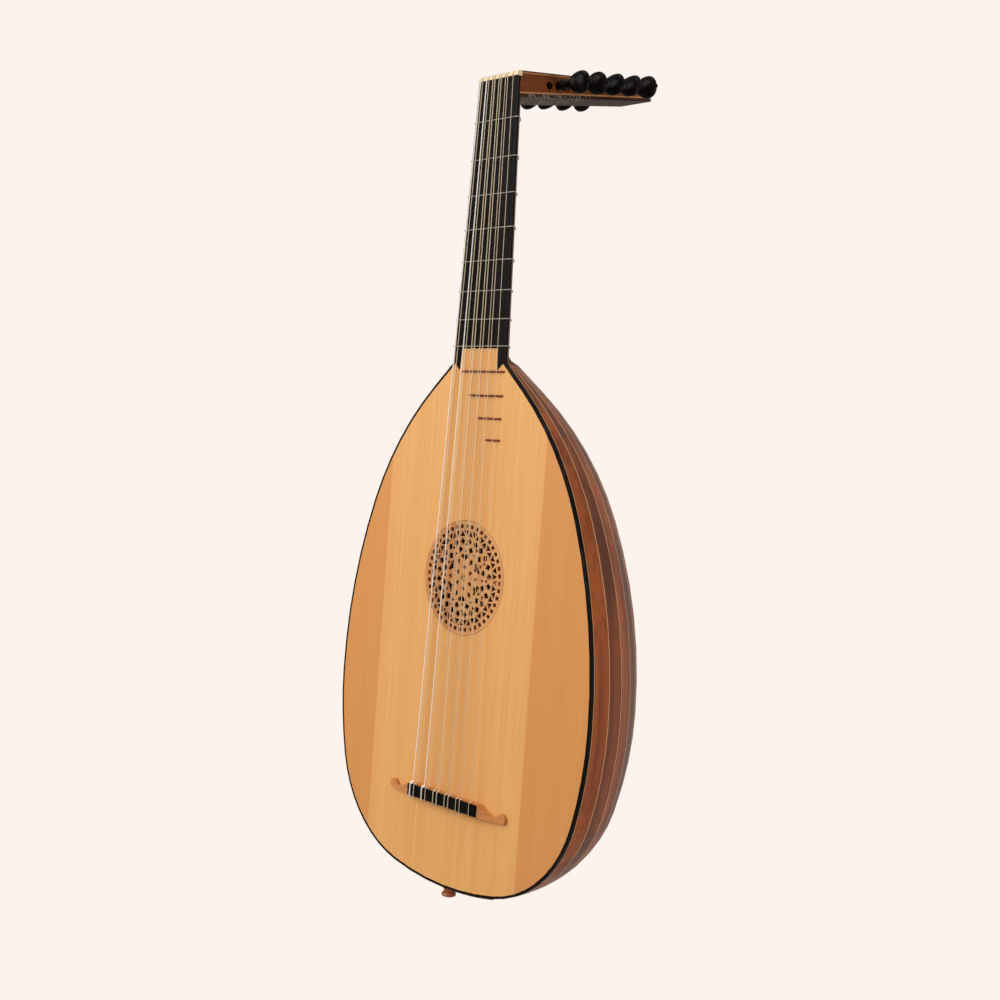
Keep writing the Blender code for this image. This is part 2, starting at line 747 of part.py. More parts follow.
def make_bridge():
    """Bar with two arms that thin out and curl up into a round knob."""
    seat = -GAP
    right = [(0.0, BRIDGE_EDGE_Z - BRIDGE_DEPTH_Z)]
    inner_x = BRIDGE_KNOB_X - BRIDGE_KNOB_RADIUS * 0.8
    steps = 6
    for k in range(steps + 1):
        x = BRIDGE_HALF_WIDTH + (inner_x - BRIDGE_HALF_WIDTH) * k / steps
        right.append((x, bridge_side(x)[1]))
    for k in range(9):
        turn = math.radians(-110 + 30 * k)
        right.append((BRIDGE_KNOB_X + BRIDGE_KNOB_RADIUS * math.cos(turn),
                      BRIDGE_KNOB_Z + BRIDGE_KNOB_RADIUS * math.sin(turn)))
    for k in range(steps, -1, -1):
        x = BRIDGE_HALF_WIDTH + (inner_x - 2.6 - BRIDGE_HALF_WIDTH) * k / steps
        right.append((x, bridge_side(x)[2]))
    right.append((0.0, BRIDGE_EDGE_Z))
    left = [(-x, z) for x, z in reversed(right[1:-1])]

    def top_edge(x, z):
        """The tail side leans in towards the top, fully so in the middle."""
        tall, low, high = bridge_side(x)
        lean = (BRIDGE_DEPTH_Z - BRIDGE_TOP_DEPTH_Z) * (high - low) / BRIDGE_DEPTH_Z
        return -tall, z + lean * (z < low + 0.01)

    slab("bridge", [right + left], top_edge, seat, PLUM)
    cap_low = BRIDGE_EDGE_Z - BRIDGE_TOP_DEPTH_Z
    near = -(BRIDGE_HEIGHT + GAP + CAP_THICK)
    far = -(BRIDGE_HEIGHT + GAP)
    soft = CAP_THICK * 0.4
    rings = []
    for x, trim in ((-BRIDGE_HALF_WIDTH, soft), (-BRIDGE_HALF_WIDTH + soft, 0.0),
                    (BRIDGE_HALF_WIDTH - soft, 0.0), (BRIDGE_HALF_WIDTH, soft)):
        rings.append([(x, far, cap_low), (x, near + soft + trim, cap_low), (x, near + trim, cap_low + soft),
                      (x, near + trim, BRIDGE_EDGE_Z - soft), (x, near + soft + trim, BRIDGE_EDGE_Z),
                      (x, far, BRIDGE_EDGE_Z)])
    loft("bridge_cap", rings, EBONY)


def make_body_frets():
    for k in range(BODY_FRETS):
        z = fret_z(TIED_FRETS + 1 + k)
        low_x = BODY_FRET_BASS_X + BODY_FRET_STEP_X * k
        half = BODY_FRET_WIDTH / 2
        rings = []
        for x, lift in ((low_x, 0.45), (low_x + 1.0, 1.0), (BODY_FRET_TREBLE_X - 1.0, 1.0),
                        (BODY_FRET_TREBLE_X, 0.45)):
            top = -GAP - BODY_FRET_HEIGHT * lift
            rings.append([(x, -GAP, z - half), (x, top * 0.75, z - half), (x, top, z - half * 0.4),
                          (x, top, z + half * 0.4), (x, top * 0.75, z + half), (x, -GAP, z + half)])
        loft(f"body_fret_{TIED_FRETS + 1 + k}", rings, FRET_WOOD)


def make_tied_frets():
    """Gut loops round the neck and the fingerboard, free to slide a little along the neck."""
    for number in range(1, TIED_FRETS + 1):
        z = fret_z(number)
        off = GAP + FRET_GUT / 2
        half, depth = neck_half_width(z - FRET_TRAVEL), neck_depth(z - FRET_TRAVEL)
        power = NECK_ROUNDNESS
        points = [(-half, -off), (half, -off), (half + off * 0.8, -off * 0.8), (half + off * 1.1, 0.0)]
        points.append((half + off * 1.1, FRONT_THICK))
        for k in range(1, NECK_FACETS):
            turn = math.pi * k / NECK_FACETS
            x = math.copysign(half * abs(math.cos(turn)) ** (2 / power), math.cos(turn))
            if depth * math.sin(turn) ** (2 / power) < FRONT_THICK * 2:
                continue
            y = depth * math.sin(turn) ** (2 / power)
            nx = math.copysign(abs(x / half) ** (power - 1) / half, x)
            ny = (y / depth) ** (power - 1) / depth
            size = math.hypot(nx, ny)
            points.append((x + off * 1.15 * nx / size, y + off * 1.15 * ny / size))
        points += [(-half - off * 1.1, FRONT_THICK), (-half - off * 1.1, 0.0), (-half - off * 0.8, -off * 0.8)]
        tube(f"fret_{number}", [(x, y, 0.0) for x, y in points], FRET_GUT, GUT, True, (0.0, 0.0, z))


def pegbox_low(y):
    return PEGBOX_LOW_Z + PEGBOX_LOW_SLOPE * y


def pegbox_top(y):
    return PEGBOX_TOP_Z + PEGBOX_TOP_SLOPE * y


def pegbox_half_width(y):
    return NUT_HALF_WIDTH + (PEGBOX_TIP_HALF_WIDTH - NUT_HALF_WIDTH) * y / PEGBOX_LENGTH_Y


def cheek_inner(y):
    """The wall is thin at the nut, where the strings spread widest, and full at the tip."""
    wall = CHEEK_THICK_AT_NUT + (CHEEK_THICK_AT_TIP - CHEEK_THICK_AT_NUT) * y / PEGBOX_LENGTH_Y
    return pegbox_half_width(y) - wall


def peg_y(i):
    return FIRST_PEG_Y + PEG_STEP_Y * i


def peg_z(y):
    return (pegbox_low(y) + pegbox_top(y)) / 2


def make_cheek(name, side):
    """Side wall of the pegbox with its peg holes; side is 1 for treble and -1 for bass."""
    floor = BACK_PLATE_THICK + GAP
    seat_y = NUT_BACK_Y + GAP
    seat_z = NUT_Z
    tip = PEGBOX_LENGTH_Y
    outline_yz = [(INNER_Y, pegbox_low(INNER_Y) + floor), (tip, pegbox_low(tip) + floor),
                  (tip, pegbox_top(tip)), (seat_y, pegbox_top(seat_y)), (seat_y, seat_z),
                  (INNER_Y, seat_z)]
    verts = []
    for wall in (pegbox_half_width, cheek_inner):
        for y, z in outline_yz:
            verts.append((side * wall(y), y, z))
    n = len(outline_yz)
    faces = [tuple(range(n)), tuple(range(2 * n - 1, n - 1, -1))]
    for a in range(n):
        b = (a + 1) % n
        faces.append((a, b, b + n, a + n))
    cheek = solid(name, verts, faces, WALNUT)
    for i in range(PEG_COUNT):
        y = peg_y(i)
        head_side = -1 if i % 2 == 0 else 1
        radius = PEG_RADIUS if head_side == side else PEG_END_RADIUS + 0.15
        wide = (radius + PEG_CLEARANCE) / math.cos(math.pi / HOLE_SIDES)
        tool = cutter(f"hole_{name}_{i + 1:02d}", (side * 20.0, y, peg_z(y)), wide, 24.0, "X")
        bore(cheek, tool)


def make_pegbox():
    make_cheek("cheek_bass", -1)
    make_cheek("cheek_treble", 1)
    rings = []
    for y in (INNER_Y, PEGBOX_LENGTH_Y):
        w = pegbox_half_width(y)
        low = pegbox_low(y)
        rings.append([(-w, y, low), (w, y, low), (w, y, low + BACK_PLATE_THICK), (-w, y, low + BACK_PLATE_THICK)])
    loft("pegbox_back", rings, WALNUT)
    floor = BACK_PLATE_THICK + GAP
    side = [(INNER_Y, pegbox_low(INNER_Y) + floor), (INNER_Y, NUT_Z), (NUT_BACK_Y + GAP, NUT_Z),
            (FLOOR_RAMP_Y * 0.4, NUT_Z - 2.0), (FLOOR_RAMP_Y, pegbox_low(FLOOR_RAMP_Y) + floor + 1.0),
            (FLOOR_RAMP_Y, pegbox_low(FLOOR_RAMP_Y) + floor)]
    rings = []
    for hand in (-1, 1):
        rings.append([(hand * (cheek_inner(y) - GAP), y, z) for y, z in side])
    loft("pegbox_block", rings, NECK_WOOD)
    near = PEGBOX_LENGTH_Y - PEGBOX_END_THICK
    side = [(near, pegbox_low(near) + floor), (PEGBOX_LENGTH_Y, pegbox_low(PEGBOX_LENGTH_Y) + floor),
            (PEGBOX_LENGTH_Y, pegbox_top(PEGBOX_LENGTH_Y)), (near, pegbox_top(near))]
    rings = []
    for hand in (-1, 1):
        rings.append([(hand * (cheek_inner(y) - GAP), y, z) for y, z in side])
    loft("pegbox_end", rings, WALNUT)


def peg_profile(y):
    """(radius, distance) of a peg from its small end to the pip on its head."""
    wall = pegbox_half_width(y)
    start = -wall - PEG_STICK_OUT
    shoulder = wall + PEG_REACH * 0.35
    head = wall + PEG_REACH
    grown = PEG_END_RADIUS + (PEG_RADIUS - PEG_END_RADIUS)
    profile = [
        (PEG_END_RADIUS, start),
        (PEG_END_RADIUS, -cheek_inner(y) + GAP), (grown, -cheek_inner(y) + 2 * GAP),
        (PEG_RADIUS, shoulder), (PEG_RADIUS * 1.5, shoulder + 1.2), (PEG_RADIUS * 1.5, shoulder + 2.6),
        (PEG_RADIUS * 1.1, shoulder + 4.0), (PEG_RADIUS * 1.3, head),
        (PEG_HEAD_RADIUS * 0.86, head + PEG_HEAD_LENGTH * 0.3),
        (PEG_HEAD_RADIUS, head + PEG_HEAD_LENGTH * 0.56),
        (PEG_HEAD_RADIUS * 0.86, head + PEG_HEAD_LENGTH * 0.82),
        (PEG_HEAD_RADIUS * 0.45, head + PEG_HEAD_LENGTH * 0.97),
        (1.6, head + PEG_HEAD_LENGTH), (0.0, head + PEG_HEAD_LENGTH + 1.9),
    ]
    return profile, head


def make_pegs():
    for i in range(PEG_COUNT):
        y = peg_y(i)
        hand = -1 if i % 2 == 0 else 1
        profile, head = peg_profile(y)
        lean = math.radians(14 * math.sin(2.3 * i + 0.6))

        def to_world(a, b, along):
            share = min(1.0, max(0.0, (along - head + 4.0) / 8.0))
            a = a * (1 - (1 - PEG_HEAD_FLATNESS) * share)
            turned_a = a * math.cos(lean) - b * math.sin(lean)
            turned_b = a * math.sin(lean) + b * math.cos(lean)
            return hand * along, turned_a, turned_b

        turned(f"peg_{i + 1:02d}", profile, PEG_SIDES, EBONY, (0.0, y, peg_z(y)), to_world)


def lane_x(i):
    return FIRST_LANE_X + (LAST_LANE_X - FIRST_LANE_X) * i / (PEG_COUNT - 1)


def string_route(i):
    """Knot over the bridge cap, speaking length, bend over the nut, then turns round the peg."""
    r = STRING_DIAMETERS[i] / 2
    bx, nx, px = BRIDGE_X[i], NUT_X[i], lane_x(i)
    clear = r + GAP + 0.05
    face = -(BRIDGE_HEIGHT + GAP + CAP_THICK)
    high = BRIDGE_EDGE_Z
    low = BRIDGE_EDGE_Z - BRIDGE_TOP_DEPTH_Z
    corner = clear * math.sqrt(0.5)
    points = [
        (bx, -STRING_HEIGHT_AT_BRIDGE + 1.5, low - 1.2 - r),
        (bx, face + 0.8, low - clear),
        (bx, face - corner, low - corner),
        (bx, face - clear, low + 0.4),
        (bx, face - clear, high - 0.4),
        (bx, face - corner, high + corner),
        (bx, face + 0.7, high + clear),
        (bx, -STRING_HEIGHT_AT_BRIDGE, high + 1.5 + r),
    ]
    peg = (peg_y(i), peg_z(peg_y(i)))
    wind = PEG_RADIUS + WINDING_GAP + r
    dy, dz = peg[0] - NUT_BEND_Y, peg[1] - NUT_BEND_Z
    span = math.hypot(dy, dz)
    lift = math.atan2(dz, dy) + math.acos((NUT_BEND - wind) / span)
    for k in range(4):
        turn = math.pi + (lift - math.pi) * k / 3
        points.append((nx, NUT_BEND_Y + NUT_BEND * math.cos(turn), NUT_BEND_Z + NUT_BEND * math.sin(turn)))
    pitch = 2 * r + 0.45
    steps = int(WINDING_TURNS * TURN_POINTS)
    for k in range(steps + 1):
        turn = lift - 2 * math.pi * k / TURN_POINTS
        points.append((px + pitch * k / TURN_POINTS, peg[0] + wind * math.cos(turn), peg[1] + wind * math.sin(turn)))
    return points


def winding_self_gap(points, diameter):
    """Least clear distance between a cord's turns, on points half a turn or more apart."""
    spots = np.array(points[-int(WINDING_TURNS * TURN_POINTS) - 1:])
    least = 1e9
    for a in range(len(spots)):
        for b in range(a + TURN_POINTS // 2, len(spots)):
            least = min(least, float(np.linalg.norm(spots[a] - spots[b])) - diameter)
    return least


def make_strings():
    for i in range(PEG_COUNT):
        route = string_route(i)
        tube(f"string_{i + 1:02d}", route, STRING_DIAMETERS[i], GUT)
        print(f"string_{i + 1:02d} least gap between turns {winding_self_gap(route, STRING_DIAMETERS[i]):.2f} mm")


bowl = make_bowl()
end_block = make_end_block()
end_clasp = make_end_clasp()
shank_hole = cutter("hole_end_button", (0.0, BUTTON_SETBACK, 15.0),
                    (BUTTON_SHANK_RADIUS + GAP) / math.cos(math.pi / HOLE_SIDES), 40.0, "Z")
for piece in (bowl, end_block, end_clasp):
    bore(piece, shank_hole)
make_end_button()
make_edging()
make_liners()
make_soundboard()
make_rose()
make_bars()
make_neck_block()
make_neck()
make_fingerboard()
make_tied_frets()
make_body_frets()
make_nut()
make_bridge()
make_pegbox()
make_pegs()
make_strings()
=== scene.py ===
# %% [markdown]
# # A renaissance lute in a photographer's studio
#
# The solids of the lute are already made and come in as a fixed frame. This lesson gives each wood,
# gut and bone piece its finish, turns smoother pegs, ties the strings' knots at the bridge, and sets
# the soft light and the camera of a catalogue picture.

# %% Load the lute
import math

import bpy
from mathutils import Matrix, Vector


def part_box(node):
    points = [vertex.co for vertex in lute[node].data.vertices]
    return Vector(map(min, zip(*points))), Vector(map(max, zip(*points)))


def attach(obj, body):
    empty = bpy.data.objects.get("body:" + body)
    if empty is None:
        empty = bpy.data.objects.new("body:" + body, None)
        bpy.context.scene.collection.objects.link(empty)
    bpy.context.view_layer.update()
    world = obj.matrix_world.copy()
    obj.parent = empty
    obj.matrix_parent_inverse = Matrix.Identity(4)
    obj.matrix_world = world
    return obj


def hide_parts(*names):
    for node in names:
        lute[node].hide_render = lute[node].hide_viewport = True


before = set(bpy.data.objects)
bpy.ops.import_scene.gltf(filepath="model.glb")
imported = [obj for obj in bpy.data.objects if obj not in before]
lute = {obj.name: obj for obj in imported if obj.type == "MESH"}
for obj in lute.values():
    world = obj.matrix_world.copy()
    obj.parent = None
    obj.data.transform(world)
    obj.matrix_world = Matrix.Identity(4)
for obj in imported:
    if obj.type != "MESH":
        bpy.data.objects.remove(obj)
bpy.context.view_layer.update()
MM = 0.001
print("pieces in the frame:", len(lute))

# %% [markdown]
# ## Colours
# A photograph gives colours as numbers from 0 to 255 that are bent by a curve. Shaders count light in
# a straight line, so each colour is unbent once, here, and every finish below can name what the eye
# sees.

# %% Photo colour to shader colour
def seen(red, green, blue):
    """A colour as the eye sees it, ready for a shader."""
    straight = []
    for level in (red, green, blue):
        share = level / 255
        straight.append(share / 12.92 if share <= 0.04045 else ((share + 0.055) / 1.055) ** 2.4)
    return (*straight, 1.0)


def link(tree, source, target):
    tree.links.new(source, target)


def sum_up(tree, operation, *values, clamp=False):
    """A Math node fed by sockets or plain numbers; returns its result."""
    step = tree.nodes.new("ShaderNodeMath")
    step.operation = operation
    step.use_clamp = clamp
    for socket, value in zip(step.inputs, values):
        if isinstance(value, (int, float)):
            socket.default_value = value
        else:
            link(tree, value, socket)
    return step.outputs[0]


def blend_colours(tree, share, first, second, mode="MIX"):
    """Mixes two colours, each a socket or a fixed colour, by a share."""
    mix = tree.nodes.new("ShaderNodeMix")
    mix.data_type = "RGBA"
    mix.blend_type = mode
    for socket, value in ((mix.inputs[0], share), (mix.inputs[6], first), (mix.inputs[7], second)):
        if isinstance(value, (int, float, tuple)):
            socket.default_value = value
        else:
            link(tree, value, socket)
    return mix.outputs[2]


def fade(tree, value, start, end):
    """0 at the start value and 1 at the end value, with a soft run between."""
    ramp = tree.nodes.new("ShaderNodeMapRange")
    ramp.interpolation_type = "SMOOTHSTEP"
    link(tree, value, ramp.inputs["Value"])
    ramp.inputs["From Min"].default_value = start
    ramp.inputs["From Max"].default_value = end
    return ramp.outputs["Result"]


print("soundboard colour:", [round(c, 3) for c in seen(226, 172, 107)])

# %% [markdown]
# ## Grain, shared by all the woods
# Wood is a bundle of long fibres: noise that is squeezed across the fibres and stretched along them
# looks like it. One node group holds that noise, and each wood sets how fine and how strong it is.

# %% Grain group
def make_grain():
    """Group with the wood's fine lines, its slow bands and a height for their relief."""
    group = bpy.data.node_groups.new("Long grain", "ShaderNodeTree")
    sockets = group.interface
    sockets.new_socket("Along", in_out="INPUT", socket_type="NodeSocketVector")
    for name, start in (("Fineness", 900.0), ("Bands", 60.0), ("Stretch", 0.012)):
        given = sockets.new_socket(name, in_out="INPUT", socket_type="NodeSocketFloat")
        given.default_value = start
    for name in ("Lines", "Drift"):
        sockets.new_socket(name, in_out="OUTPUT", socket_type="NodeSocketFloat")
    entry = group.nodes.new("NodeGroupInput")
    way_out = group.nodes.new("NodeGroupOutput")
    split = group.nodes.new("ShaderNodeSeparateXYZ")
    link(group, entry.outputs["Along"], split.inputs[0])
    squeezed = group.nodes.new("ShaderNodeCombineXYZ")
    link(group, split.outputs["X"], squeezed.inputs["X"])
    link(group, split.outputs["Y"], squeezed.inputs["Y"])
    link(group, sum_up(group, "MULTIPLY", split.outputs["Z"], entry.outputs["Stretch"]), squeezed.inputs["Z"])
    for name, fineness, detail in (("Lines", "Fineness", 4.0), ("Drift", "Bands", 2.0)):
        noise = group.nodes.new("ShaderNodeTexNoise")
        noise.inputs["Detail"].default_value = detail
        link(group, squeezed.outputs[0], noise.inputs["Vector"])
        link(group, entry.outputs[fineness], noise.inputs["Scale"])
        link(group, noise.outputs[0], way_out.inputs[name])
    return group


grain = make_grain()
print("grain group made:", grain.name)

# %% [markdown]
# ## A start for every finish
# Each finish is a Principled shader. What differs is the pattern that feeds its colour, so one helper
# makes the material, hands out the piece's own coordinates, and sets how shiny the varnish is.

# %% Finish helper
def start_finish(name, roughness, varnish=0.0, specular=0.5):
    """A new material: its tree, its Principled shader and the coordinates on the piece."""
    made = bpy.data.materials.new(name)
    made.use_nodes = True
    tree = made.node_tree
    shader = tree.nodes["Principled BSDF"]
    shader.inputs["Roughness"].default_value = roughness
    shader.inputs["Coat Weight"].default_value = varnish
    shader.inputs["Coat Roughness"].default_value = 0.25
    shader.inputs["Specular IOR Level"].default_value = specular
    place = tree.nodes.new("ShaderNodeTexCoord")
    return made, tree, shader, place.outputs["Object"]


def add_grain(tree, vector, fineness, bands, stretch=0.012):
    """Places the grain group in a finish and returns its lines and its drift."""
    fibre = tree.nodes.new("ShaderNodeGroup")
    fibre.node_tree = grain
    link(tree, vector, fibre.inputs["Along"])
    fibre.inputs["Fineness"].default_value = fineness
    fibre.inputs["Bands"].default_value = bands
    fibre.inputs["Stretch"].default_value = stretch
    return fibre.outputs["Lines"], fibre.outputs["Drift"]


def relief(tree, shader, height, strength, depth=0.0002):
    """Raises the surface a little where the height is high."""
    bump = tree.nodes.new("ShaderNodeBump")
    bump.inputs["Strength"].default_value = strength
    bump.inputs["Distance"].default_value = depth
    link(tree, height, bump.inputs["Height"])
    link(tree, bump.outputs[0], shader.inputs["Normal"])


def turned_vector(tree, vector, degrees_x=0.0, degrees_y=0.0):
    """Turns the grain to run along another direction of the piece."""
    turn = tree.nodes.new("ShaderNodeMapping")
    turn.inputs["Rotation"].default_value = (math.radians(degrees_x), math.radians(degrees_y), 0.0)
    link(tree, vector, turn.inputs["Vector"])
    return turn.outputs[0]


def plain_wood(name, light, dark, roughness, fineness=700.0, bands=40.0, turn_x=0.0, turn_y=0.0, varnish=0.05):
    """A wood with grain and slow bands between a light and a dark tone."""
    made, tree, shader, vector = start_finish(name, roughness, varnish, 0.35)
    if turn_x or turn_y:
        vector = turned_vector(tree, vector, turn_x, turn_y)
    lines, drift = add_grain(tree, vector, fineness, bands)
    share = sum_up(tree, "MULTIPLY_ADD", drift, 0.6, sum_up(tree, "MULTIPLY", lines, 0.4))
    tone = blend_colours(tree, fade(tree, share, 0.35, 0.65), seen(*dark), seen(*light))
    link(tree, tone, shader.inputs["Base Color"])
    link(tree, sum_up(tree, "MULTIPLY_ADD", lines, 0.12, roughness - 0.06), shader.inputs["Roughness"])
    relief(tree, shader, lines, 0.12)
    return made


print("helpers ready")

# %% [markdown]
# ## Soundboard
# The soundboard is thin spruce with straight lines from tail to neck. Its middle boards are paler
# than the strips at the sides, and the joints between them show as fine steps of tone.

# %% Spruce
MIDDLE_BASS = -0.103
MIDDLE_TREBLE = 0.086


def make_spruce():
    made, tree, shader, vector = start_finish("Spruce soundboard", 0.45, 0.05, 0.3)
    split = tree.nodes.new("ShaderNodeSeparateXYZ")
    link(tree, vector, split.inputs[0])
    lines, drift = add_grain(tree, vector, 1100.0, 70.0, 0.008)
    tone = blend_colours(tree, fade(tree, lines, 0.3, 0.72), seen(231, 176, 108), seen(221, 161, 92))
    tone = blend_colours(tree, sum_up(tree, "MULTIPLY", fade(tree, drift, 0.35, 0.7), 0.3), tone, seen(216, 152, 84))
    bass_side = fade(tree, split.outputs["X"], MIDDLE_BASS + 0.0015, MIDDLE_BASS - 0.0015)
    treble_side = fade(tree, split.outputs["X"], MIDDLE_TREBLE - 0.0015, MIDDLE_TREBLE + 0.0015)
    side = sum_up(tree, "MULTIPLY", sum_up(tree, "MAXIMUM", bass_side, treble_side), 0.6)
    tone = blend_colours(tree, side, tone, seen(203, 128, 62))
    link(tree, tone, shader.inputs["Base Color"])
    relief(tree, shader, lines, 0.1)
    return made


spruce = make_spruce()
lute["soundboard"].data.materials.clear()
lute["soundboard"].data.materials.append(spruce)
print("finish:", spruce.name)

# %% [markdown]
# ## Ribs of the bowl
# The bowl is bent from narrow ribs that alternate between two tones, with a pale line of wood between
# neighbours. Seen from the tail, every rib fills an equal slice of a half turn, so the angle round the
# lute's middle tells the shader which rib a point is on and how far the next joint is.

# %% Ribs
RIBS = 23
RIM_DEPTH = 0.0057
BOWL_ROUNDNESS = 0.9414
JOINT_LINE = 0.00045


def make_ribs():
    made, tree, shader, vector = start_finish("Walnut ribs", 0.36, 0.03, 0.2)
    split = tree.nodes.new("ShaderNodeSeparateXYZ")
    link(tree, vector, split.inputs[0])
    across = split.outputs["X"]
    deep = sum_up(tree, "DIVIDE", sum_up(tree, "ADD", split.outputs["Y"], RIM_DEPTH), BOWL_ROUNDNESS)
    angle = sum_up(tree, "ARCTAN2", deep, across)
    count = sum_up(tree, "MULTIPLY", angle, RIBS / math.pi)
    rib = sum_up(tree, "FLOOR", count)
    inside = sum_up(tree, "FRACT", count)
    nearest = sum_up(tree, "MINIMUM", inside, sum_up(tree, "SUBTRACT", 1.0, inside))
    reach = sum_up(tree, "SQRT", sum_up(tree, "MULTIPLY_ADD", across, across, sum_up(tree, "MULTIPLY", deep, deep)))
    distance = sum_up(tree, "MULTIPLY", nearest, sum_up(tree, "MULTIPLY", reach, math.pi / RIBS))
    joint = fade(tree, distance, JOINT_LINE + 0.0002, JOINT_LINE - 0.0001)
    other = sum_up(tree, "PINGPONG", rib, 1.0)
    chance = tree.nodes.new("ShaderNodeTexWhiteNoise")
    chance.noise_dimensions = "1D"
    link(tree, rib, chance.inputs["W"])
    shifted = tree.nodes.new("ShaderNodeVectorMath")
    shifted.operation = "ADD"
    link(tree, vector, shifted.inputs[0])
    link(tree, chance.outputs["Color"], shifted.inputs[1])
    lines, drift = add_grain(tree, shifted.outputs[0], 420.0, 45.0, 0.03)
    warm = blend_colours(tree, fade(tree, drift, 0.35, 0.65), seen(122, 58, 22), seen(162, 84, 34))
    deep_tone = blend_colours(tree, fade(tree, drift, 0.35, 0.65), seen(94, 44, 18), seen(134, 68, 28))
    tone = blend_colours(tree, other, warm, deep_tone)
    tone = blend_colours(tree, sum_up(tree, "MULTIPLY", fade(tree, lines, 0.45, 0.7), 0.45), tone, seen(84, 40, 16))
    tone = blend_colours(tree, joint, tone, seen(206, 160, 112))
    link(tree, tone, shader.inputs["Base Color"])
    link(tree, sum_up(tree, "MULTIPLY_ADD", lines, 0.15, 0.26), shader.inputs["Roughness"])
    relief(tree, shader, sum_up(tree, "SUBTRACT", sum_up(tree, "MULTIPLY", lines, 0.3), joint), 0.15)
    return made


ribs = make_ribs()
print("finish:", ribs.name)

# %% [markdown]
# ## Pegbox walls
# The side walls of the pegbox are red-brown, with a pale line of inlay below the top edge and another
# one along the underside. Both lines follow the slanting edges, so the shader measures how far a point
# is below the one and above the other.

# %% Pegbox walls
TOP_HEIGHT, TOP_SLOPE = 0.695712, 0.168
LOW_HEIGHT, LOW_SLOPE = 0.677245, 0.205


def make_walls():
    made, tree, shader, vector = start_finish("Pegbox walls", 0.4, 0.0, 0.15)
    split = tree.nodes.new("ShaderNodeSeparateXYZ")
    link(tree, vector, split.inputs[0])
    along, up = split.outputs["Y"], split.outputs["Z"]
    lines, drift = add_grain(tree, turned_vector(tree, vector, 80.0), 700.0, 60.0)
    tone = blend_colours(tree, fade(tree, drift, 0.35, 0.65), seen(84, 40, 12), seen(122, 62, 24))
    tone = blend_colours(tree, sum_up(tree, "MULTIPLY", fade(tree, lines, 0.45, 0.7), 0.4), tone, seen(74, 36, 18))
    top_edge = sum_up(tree, "MULTIPLY_ADD", along, TOP_SLOPE, TOP_HEIGHT)
    low_edge = sum_up(tree, "MULTIPLY_ADD", along, LOW_SLOPE, LOW_HEIGHT)
    below_top = sum_up(tree, "SUBTRACT", top_edge, up)
    above_low = sum_up(tree, "SUBTRACT", up, low_edge)
    dark_line = fade(tree, below_top, 0.0011, 0.0009)
    pale_top = sum_up(tree, "MULTIPLY", fade(tree, below_top, 0.0023, 0.0021), sum_up(tree, "SUBTRACT", 1.0, dark_line))
    pale_low = fade(tree, above_low, 0.0014, 0.0012)
    tone = blend_colours(tree, sum_up(tree, "MULTIPLY", pale_top, 0.7), tone, seen(196, 138, 86))
    tone = blend_colours(tree, sum_up(tree, "MULTIPLY", pale_low, 0.8), tone, seen(200, 140, 90))
    tone = blend_colours(tree, dark_line, tone, seen(58, 30, 18))
    link(tree, tone, shader.inputs["Base Color"])
    relief(tree, shader, lines, 0.12)
    return made


pegbox_walls = make_walls()
print("finish:", pegbox_walls.name)

# %% [markdown]
# ## Carved underside of the pegbox
# Low carving covers the near part of the pegbox's underside and runs out towards the tip. Rounded
# cells with raised rims stand for the leaf scrolls, with a painted grey highlight on their rims over the dark wood of
# the hollows.

# %% Carving
def make_carving():
    made, tree, shader, vector = start_finish("Carved underside", 0.5, 0.0, 0.1)
    split = tree.nodes.new("ShaderNodeSeparateXYZ")
    link(tree, vector, split.inputs[0])
    cells = tree.nodes.new("ShaderNodeTexVoronoi")
    cells.feature = "SMOOTH_F1"
    cells.inputs["Scale"].default_value = 210.0
    cells.inputs["Smoothness"].default_value = 0.4
    link(tree, vector, cells.inputs["Vector"])
    curl = sum_up(tree, "SINE", sum_up(tree, "MULTIPLY", cells.outputs["Distance"], 11.0))
    reach = sum_up(tree, "MULTIPLY", fade(tree, split.outputs["Y"], 0.09, 0.07), fade(tree, split.outputs["Y"], 0.0, 0.004))
    rim_relief_and_highlight = sum_up(tree, "MULTIPLY", fade(tree, curl, -0.3, 0.6), reach)
    lines, drift = add_grain(tree, turned_vector(tree, vector, 80.0), 700.0, 60.0)
    plain = blend_colours(tree, fade(tree, drift, 0.35, 0.65), seen(42, 22, 20), seen(72, 38, 26))
    # painted highlight: the raised rims are lightened towards pale grey, and the hollows keep the dark wood
    tone = blend_colours(tree, sum_up(tree, "MULTIPLY", rim_relief_and_highlight, 0.55), plain, seen(150, 138, 130))
    link(tree, tone, shader.inputs["Base Color"])
    relief(tree, shader, rim_relief_and_highlight, 0.5, 0.0008)
    return made


carving = make_carving()
print("finish:", carving.name)

# %% [markdown]
# ## Ebony, bone and gut
# The fingerboard, the edging and the pegs are black wood with hardly visible pores. Bone is cream with
# cloudy spots, and gut is a twisted cord, so a fine slanting wave runs round it.

# %% Ebony, bone and gut
def make_ebony(name, roughness, light=(26, 19, 16)):
    made, tree, shader, vector = start_finish(name, roughness, 0.0, 0.06)
    lines, drift = add_grain(tree, vector, 900.0, 80.0)
    tone = blend_colours(tree, fade(tree, sum_up(tree, "MULTIPLY", lines, drift), 0.2, 0.42), seen(9, 7, 6), seen(*light))
    link(tree, tone, shader.inputs["Base Color"])
    relief(tree, shader, lines, 0.08)
    return made


def make_bone():
    made, tree, shader, vector = start_finish("Polished bone", 0.3, 0.3)
    clouds = tree.nodes.new("ShaderNodeTexNoise")
    clouds.inputs["Scale"].default_value = 220.0
    link(tree, vector, clouds.inputs["Vector"])
    tone = blend_colours(tree, clouds.outputs[0], seen(226, 196, 146), seen(248, 226, 188))
    link(tree, tone, shader.inputs["Base Color"])
    return made


